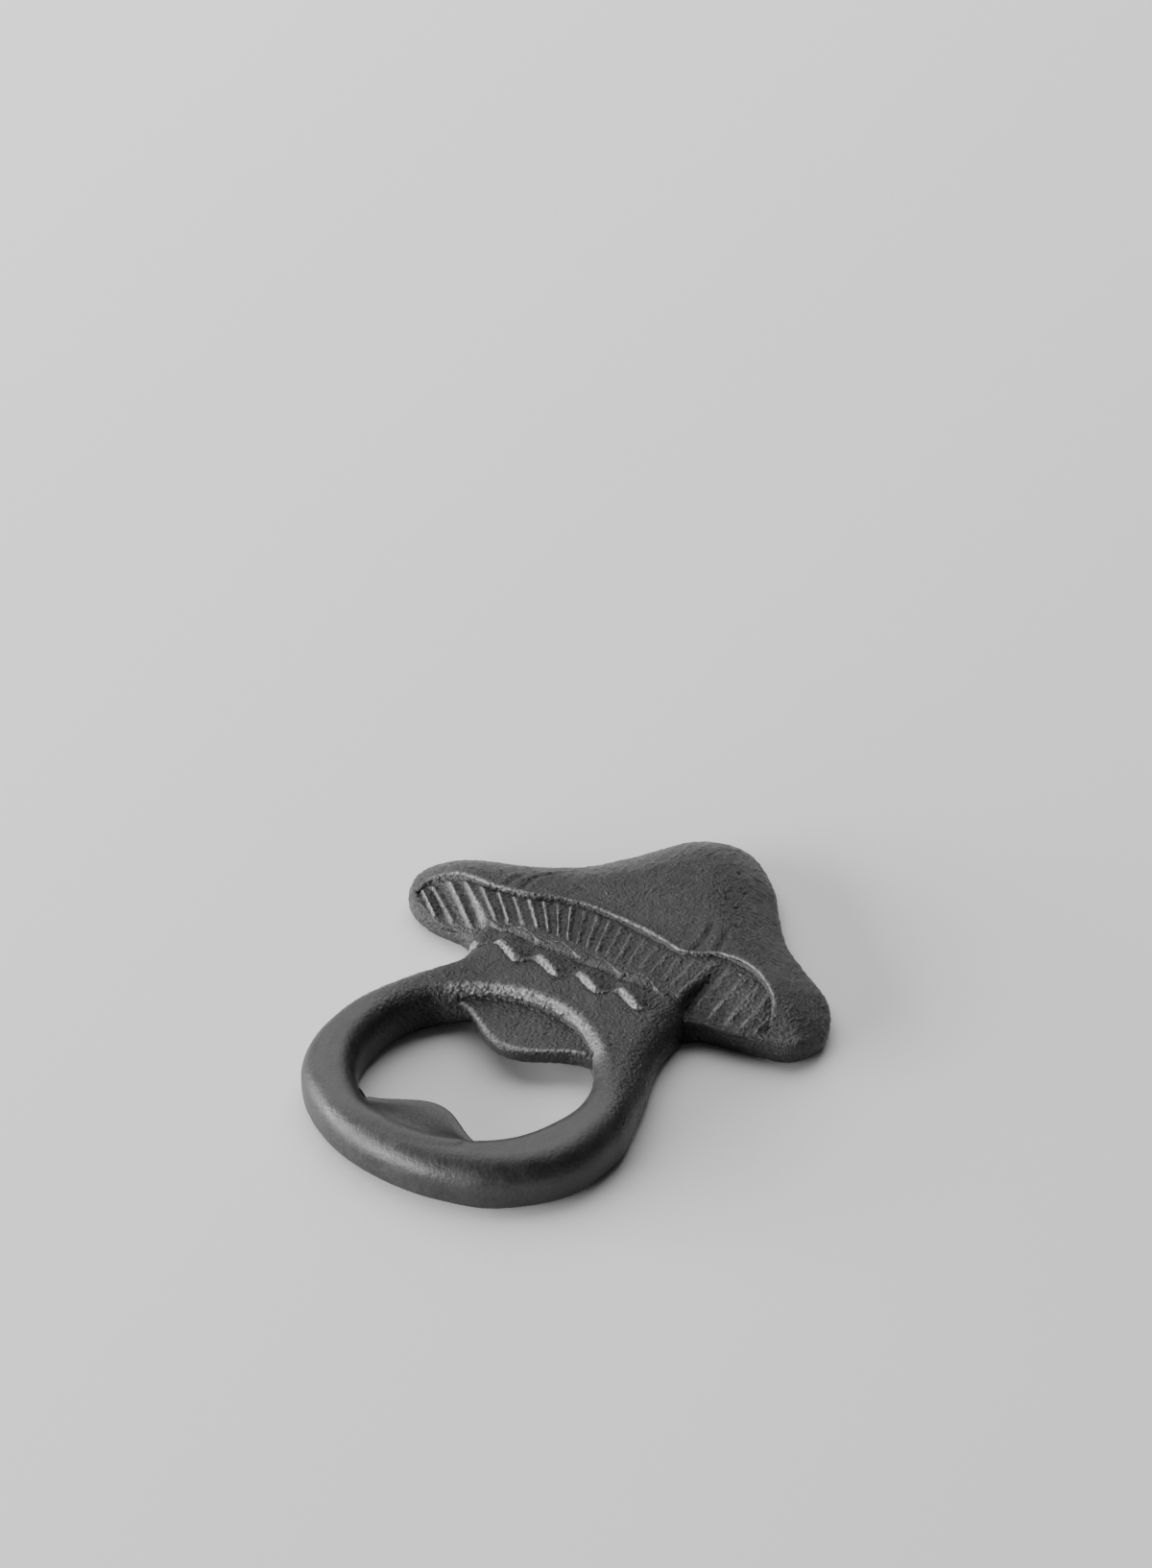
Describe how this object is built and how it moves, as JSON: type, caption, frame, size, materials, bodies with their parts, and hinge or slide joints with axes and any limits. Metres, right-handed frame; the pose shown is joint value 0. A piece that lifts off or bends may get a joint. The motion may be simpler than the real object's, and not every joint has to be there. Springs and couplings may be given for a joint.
{
  "type": "bottle opener",
  "caption": "Cast-iron bottle opener shaped like a mushroom: the bell-shaped cap is the handle and the stem is a ring with two prying lips across its hole.",
  "frame": {"origin": "middle of the footprint's bounding box, on the flat back that the opener lies on", "axes": "+Y from the opener ring to the peak of the cap, +Z out of the modelled face, +X towards the right lobe of the cap"},
  "size_m": [0.0806, 0.1038, 0.0093],
  "materials": {
    "cast_iron": "dark satin, sand-cast grain, lightly worn high edges"
  },
  "bodies": {
    "root": {"cap": "cast_iron", "rim_bead": "cast_iron", "gill_fan": "cast_iron", "neck_skirt": "cast_iron", "opener_ring": "cast_iron", "upper_lip": "cast_iron", "lower_lip": "cast_iron"}
  },
  "joints": []
}
